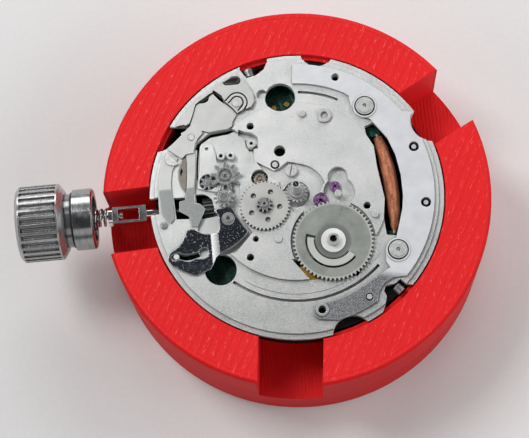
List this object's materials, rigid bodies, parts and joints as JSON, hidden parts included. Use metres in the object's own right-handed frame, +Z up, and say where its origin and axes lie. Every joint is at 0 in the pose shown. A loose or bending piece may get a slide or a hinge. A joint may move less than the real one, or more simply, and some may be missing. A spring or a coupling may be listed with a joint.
{
  "type": "watch movement holder",
  "caption": "Printed ring holder with side slots, carrying a loaded quartz watch movement with its stem and crown.",
  "frame": {"origin": "centre of the ring's underside, on the movement's axis", "axes": "+Z up out of the ring, dial side of the movement up; -X out along the winding stem"},
  "size_m": [0.0448, 0.0364, 0.0157],
  "materials": {
    "printed_plastic": "printed, fine layer lines",
    "plate_metal": "matt nickel plating",
    "black_plastic": "moulded",
    "stamped_steel": "brushed",
    "mirror_steel": "polished",
    "polished_steel": "polished",
    "crown_steel": "polished, knurled rim",
    "rubber": "matt",
    "green_board": "solder mask",
    "copper_wire": "enamelled copper wire",
    "iron_core": "bare",
    "brass": "satin",
    "bronze_spring": "satin",
    "gold_pad": "plated",
    "jewel": "polished",
    "wheel_steel": "satin",
    "white_plastic": "translucent"
  },
  "bodies": {
    "holder": {"holder_ring": "printed_plastic"},
    "clutch": {"clutch_pinion": "polished_steel"},
    "stem": {"winding_stem": "polished_steel", "stem_coupler": "polished_steel", "crown_spring": "polished_steel"},
    "crown": {"crown_head": "crown_steel", "crown_gasket": "rubber", "crown_sleeve": "crown_steel", "crown_rod": "polished_steel"},
    "cannon": {"cannon_pinion": "polished_steel"},
    "minute": {"minute_wheel": "wheel_steel", "minute_pinion": "polished_steel"},
    "counter": {"counter_wheel": "white_plastic", "counter_hub": "white_plastic", "counter_pipe": "polished_steel"},
    "second": {"second_arbor": "polished_steel"},
    "idler": {"idler_wheel": "wheel_steel"},
    "star": {"star_wheel": "wheel_steel"},
    "setting": {"setting_wheel": "wheel_steel"},
    "train": {"train_wheel": "brass"},
    "yoke": {"yoke": "stamped_steel"},
    "movement": {"back_cover": "stamped_steel", "battery": "polished_steel", "board_pads": "gold_pad", "brass_contact": "brass", "casing_screws": "polished_steel", "centre_screw": "polished_steel", "circuit_board": "green_board", "coil_core": "iron_core", "coil_terminals": "green_board", "coil_winding": "copper_wire", "cover_clamp": "stamped_steel", "cover_plate": "stamped_steel", "guard_eyelet": "polished_steel", "guard_pins": "polished_steel", "guard_plate": "stamped_steel", "guard_screws": "polished_steel", "hand_tube": "polished_steel", "large_jewel": "jewel", "lever_pin": "polished_steel", "locating_posts": "polished_steel", "main_plate": "plate_metal", "movement_body": "black_plastic", "plate_nut": "polished_steel", "plate_rivets": "polished_steel", "setting_lever_spring": "mirror_steel", "side_strip": "stamped_steel", "small_jewel": "jewel", "spring_rivet": "polished_steel", "strip_cap": "polished_steel", "strip_screw": "polished_steel", "wheel_bridge": "stamped_steel", "yoke_pin": "polished_steel", "yoke_spring": "bronze_spring"}
  },
  "joints": [
    {"name": "movement_lift", "type": "slide", "parent": "holder", "child": "movement", "axis": [0, 0, 1], "range_m": [0, 0.012]},
    {"name": "crown_turn", "type": "hinge", "parent": "movement", "child": "clutch", "pos_m": [-0.0083, 0, 0.0102], "axis": [-1, 0, 0], "continuous": true},
    {"name": "stem_pull", "type": "slide", "parent": "clutch", "child": "stem", "axis": [-1, 0, 0], "range_m": [0, 0.0009]},
    {"name": "crown_press", "type": "slide", "parent": "stem", "child": "crown", "axis": [1, 0, 0], "range_m": [0, 0.0008], "stiffness_N_per_m": 300, "springref_m": -0.0008, "deforming": ["crown_spring"]},
    {"name": "cannon_turn", "type": "hinge", "parent": "movement", "child": "cannon", "pos_m": [0, 0, 0.0127], "axis": [0, 0, 1], "continuous": true},
    {"name": "second_turn", "type": "hinge", "parent": "movement", "child": "second", "pos_m": [0, 0, 0.0137], "axis": [0, 0, 1], "continuous": true},
    {"name": "idler_turn", "type": "hinge", "parent": "movement", "child": "idler", "pos_m": [-0.0082, 0.00195, 0.0121], "axis": [0, 0, 1], "continuous": true},
    {"name": "minute_turn", "type": "hinge", "parent": "movement", "child": "minute", "pos_m": [-0.00305, -0.001, 0.0128], "axis": [0, 0, 1], "continuous": true},
    {"name": "counter_turn", "type": "hinge", "parent": "movement", "child": "counter", "pos_m": [0.003, -0.0049, 0.0125], "axis": [0, 0, 1], "continuous": true},
    {"name": "star_turn", "type": "hinge", "parent": "movement", "child": "star", "pos_m": [-0.0065, 0.0023, 0.0125], "axis": [0, 0, 1], "continuous": true},
    {"name": "setting_turn", "type": "hinge", "parent": "movement", "child": "setting", "pos_m": [-0.0068, 0.00015, 0.0128], "axis": [0, 0, 1], "continuous": true},
    {"name": "train_turn", "type": "hinge", "parent": "movement", "child": "train", "pos_m": [-0.0033, 0.00183, 0.0112], "axis": [0, 0, 1], "continuous": true},
    {"name": "yoke_swing", "type": "hinge", "parent": "movement", "child": "yoke", "pos_m": [-0.0094, 0.0064, 0.0124], "axis": [0, 0, 1], "range_deg": [0, 3.5]}
  ],
  "couplings": [
    {"joint": "cannon_turn", "follows": "minute_turn", "ratio": -2.5},
    {"joint": "yoke_swing", "follows": "stem_pull", "rad_per_m": 65.935}
  ]
}
